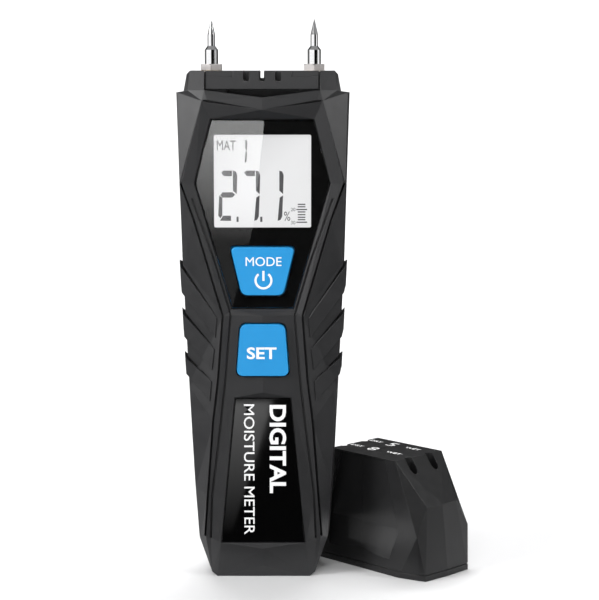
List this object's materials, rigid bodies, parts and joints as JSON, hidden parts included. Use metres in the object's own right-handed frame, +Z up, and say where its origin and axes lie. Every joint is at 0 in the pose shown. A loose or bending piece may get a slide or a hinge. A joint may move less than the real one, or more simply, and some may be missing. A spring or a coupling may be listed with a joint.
{
  "type": "moisture meter",
  "caption": "Handheld pin-type moisture meter with a display window and push buttons, its electrode head uncovered and its protective cap standing beside it.",
  "frame": {"origin": "centre of the meter's foot, on the surface that it stands on", "axes": "+Z up along the meter to its pin points; -Y is the display side; the cap stands at +X and +Y"},
  "size_m": [0.087, 0.049, 0.1644],
  "materials": {
    "housing": "moulded, finely textured, charcoal",
    "head": "moulded, smooth matte, near black",
    "cap": "moulded, finely textured, near black",
    "button": "smooth satin, light blue, printed white",
    "lens": "polished clear cover, printed black behind, clear over the display",
    "display": "liquid crystal glass, pale grey, lit from behind",
    "diffuser": "milky, smooth",
    "nameplate": "polished black, printed white",
    "board": "green solder mask on glass laminate",
    "dark_plastic": "moulded black",
    "rubber": "matte silicone",
    "battery": "printed wrap on a steel can",
    "red_wire": "red wire insulation",
    "black_wire": "black wire insulation",
    "resistor": "lacquered, banded",
    "pin": "polished and plated",
    "nut": "satin nickel plate",
    "screw": "zinc plated",
    "brass": "turned"
  },
  "bodies": {
    "meter": {"front_housing": "housing", "rear_housing": "housing", "window_lens": "lens", "lcd_panel": "display", "backlight": "diffuser", "lcd_connector": "rubber", "nameplate": "nameplate", "main_board": "board", "control_chip": "dark_plastic", "buzzer": "dark_plastic", "board_screw_1": "screw", "board_screw_2": "screw", "mode_switch": "dark_plastic", "set_switch": "dark_plastic", "head_block": "head", "left_socket": "brass", "left_electrode_lead": "red_wire", "right_socket": "brass", "right_electrode_lead": "black_wire", "left_cell": "battery", "right_cell": "battery", "contact_bridge": "nut", "contact_plus": "nut", "contact_minus": "nut", "battery_lead_red": "red_wire", "battery_lead_black": "black_wire", "case_screw_1": "screw", "case_screw_2": "screw", "case_screw_3": "screw", "case_screw_4": "screw"},
    "mode_button": {"mode_button": "button", "mode_plunger": "rubber"},
    "set_button": {"set_button": "button", "set_plunger": "rubber"},
    "battery_door": {"battery_door": "housing"},
    "left_pin": {"left_pin": "pin"},
    "left_nut": {"left_nut": "nut"},
    "right_pin": {"right_pin": "pin"},
    "right_nut": {"right_nut": "nut"},
    "cap": {"cap_shell": "cap", "check_contact_1": "brass", "check_contact_2": "brass", "check_contact_3": "brass", "check_contact_4": "brass", "check_board": "board", "check_resistor_1": "resistor", "check_resistor_2": "resistor"}
  },
  "joints": [
    {"name": "mode_press", "type": "slide", "parent": "meter", "child": "mode_button", "axis": [0, 1, 0], "range_m": [0, 0.0004], "stiffness_N_per_m": 1500},
    {"name": "set_press", "type": "slide", "parent": "meter", "child": "set_button", "axis": [0, 1, 0], "range_m": [0, 0.0004], "stiffness_N_per_m": 1500},
    {"name": "door_swing", "type": "hinge", "parent": "meter", "child": "battery_door", "pos_m": [0, 0.012, 0.0054], "axis": [-1, 0, 0], "range_deg": [0, 70]},
    {"name": "left_nut_turn", "type": "hinge", "parent": "meter", "child": "left_nut", "pos_m": [-0.015, 0, 0.1503], "axis": [0, 0, 1], "range_deg": [0, 360]},
    {"name": "left_pin_pull", "type": "slide", "parent": "meter", "child": "left_pin", "axis": [0, 0, 1], "range_m": [0, 0.006]},
    {"name": "right_nut_turn", "type": "hinge", "parent": "meter", "child": "right_nut", "pos_m": [0.015, 0, 0.1503], "axis": [0, 0, 1], "range_deg": [0, 360]},
    {"name": "right_pin_pull", "type": "slide", "parent": "meter", "child": "right_pin", "axis": [0, 0, 1], "range_m": [0, 0.006]},
    {"name": "cap_lift", "type": "slide", "parent": "meter", "child": "cap", "axis": [0.4, 0.35, 0.847], "range_m": [0, 0.15]}
  ]
}
